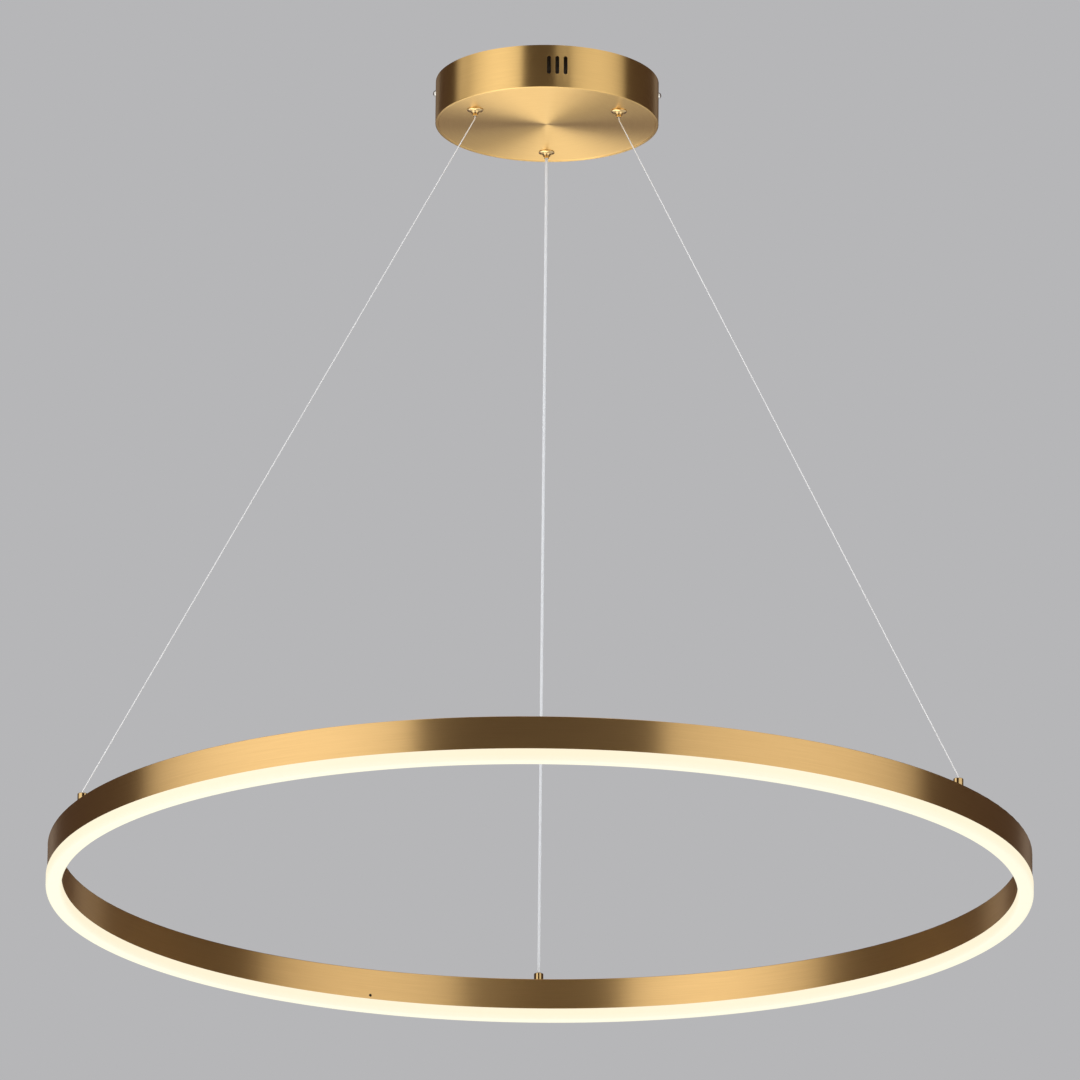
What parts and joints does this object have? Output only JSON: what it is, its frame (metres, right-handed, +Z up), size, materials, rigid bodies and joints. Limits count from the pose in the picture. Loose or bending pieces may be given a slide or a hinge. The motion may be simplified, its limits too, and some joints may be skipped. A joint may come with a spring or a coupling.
{
  "type": "ring pendant light",
  "caption": "Round brushed-brass ceiling canopy with cable grippers holding a thin brass light ring, with a glowing diffuser under it, on fine suspension cables",
  "frame": {"origin": "on the ceiling plane, at the centre of the canopy and of the crossbar's two ceiling slots", "axes": "+Z up towards the ceiling, +Y to the back where the power cable hangs, +X to the right; the crossbar lies along X"},
  "size_m": [1.0024, 1.0024, 0.879],
  "materials": {
    "brushed_brass": "brushed round the ring, lacquered",
    "polished_brass": "polished",
    "zinc_plated_steel": "zinc plated",
    "nickel_plated_steel": "nickel plated, polished",
    "steel_wire": "bright",
    "dark_steel": "blackened",
    "tinned_strands": "stranded, tinned",
    "clear_jacket": "clear, smooth",
    "glowing_diffuser": "satin opal",
    "white_plastic": "satin",
    "cream_plastic": "satin",
    "black_plastic": "matte",
    "blue_sleeve": "shrink sleeve",
    "circuit_board": "solder mask",
    "white_board": "white solder mask",
    "yellow_phosphor": "smooth",
    "aluminium_profile": "mill finish",
    "green_insulation": "smooth",
    "brown_insulation": "smooth",
    "red_insulation": "smooth"
  },
  "bodies": {
    "canopy": {"canopy_shell": "brushed_brass", "mounting_bracket": "zinc_plated_steel", "canopy_screws": "nickel_plated_steel", "terminal_block": "white_plastic", "terminal_screws": "zinc_plated_steel", "terminal_fixing_screw": "zinc_plated_steel", "earth_screw": "zinc_plated_steel", "earth_eyelet": "zinc_plated_steel", "earth_lead": "green_insulation", "supply_leads": "brown_insulation", "driver_case": "white_plastic", "driver_lid": "white_plastic", "driver_board": "circuit_board", "driver_transformer": "black_plastic", "driver_capacitors": "blue_sleeve", "driver_nuts": "zinc_plated_steel", "output_leads": "red_insulation", "output_socket": "cream_plastic", "output_plug": "cream_plastic", "power_cable_tail": "clear_jacket", "gripper_body_left": "polished_brass", "gripper_body_right": "polished_brass", "gripper_body_back": "polished_brass", "gripper_cap_left": "polished_brass", "gripper_cap_right": "polished_brass", "gripper_cap_back": "polished_brass", "gripper_washers": "zinc_plated_steel", "gripper_nuts": "zinc_plated_steel", "gripper_spring_left": "steel_wire", "gripper_spring_right": "steel_wire", "gripper_spring_back": "steel_wire", "cable_tail_left": "steel_wire", "cable_tail_right": "steel_wire", "cable_stops": "zinc_plated_steel", "suspension_cable_left": "steel_wire", "suspension_cable_right": "steel_wire", "power_cable_jacket": "clear_jacket", "power_cable_core": "tinned_strands"},
    "tip_left": {"release_tip_left": "polished_brass", "clamp_balls_left": "steel_wire"},
    "tip_right": {"release_tip_right": "polished_brass", "clamp_balls_right": "steel_wire"},
    "tip_back": {"release_tip_back": "polished_brass", "clamp_balls_back": "steel_wire"},
    "ring": {"ring_channel": "brushed_brass", "anchor_stud_left": "polished_brass", "anchor_stud_right": "polished_brass", "anchor_stud_back": "polished_brass", "anchor_nuts": "zinc_plated_steel", "cable_end_left": "steel_wire", "cable_end_right": "steel_wire", "cable_end_back": "clear_jacket", "led_carrier": "aluminium_profile", "led_board": "white_board", "led_chips": "yellow_phosphor", "board_leads": "red_insulation", "diffuser": "glowing_diffuser", "diffuser_screws": "dark_steel"}
  },
  "joints": [
    {"name": "ring_height", "type": "slide", "parent": "canopy", "child": "ring", "axis": [0, 0, 1], "range_m": [0, 0.5], "deforming": ["suspension_cable_left", "suspension_cable_right", "power_cable_jacket", "power_cable_core"]},
    {"name": "release_left", "type": "slide", "parent": "canopy", "child": "tip_left", "axis": [0, 0, 1], "range_m": [0, 0.002], "stiffness_N_per_m": 400, "springref_m": -0.004, "deforming": ["gripper_spring_left"]},
    {"name": "release_right", "type": "slide", "parent": "canopy", "child": "tip_right", "axis": [0, 0, 1], "range_m": [0, 0.002], "stiffness_N_per_m": 400, "springref_m": -0.004, "deforming": ["gripper_spring_right"]},
    {"name": "release_back", "type": "slide", "parent": "canopy", "child": "tip_back", "axis": [0, 0, 1], "range_m": [0, 0.002], "stiffness_N_per_m": 400, "springref_m": -0.004, "deforming": ["gripper_spring_back"]}
  ]
}
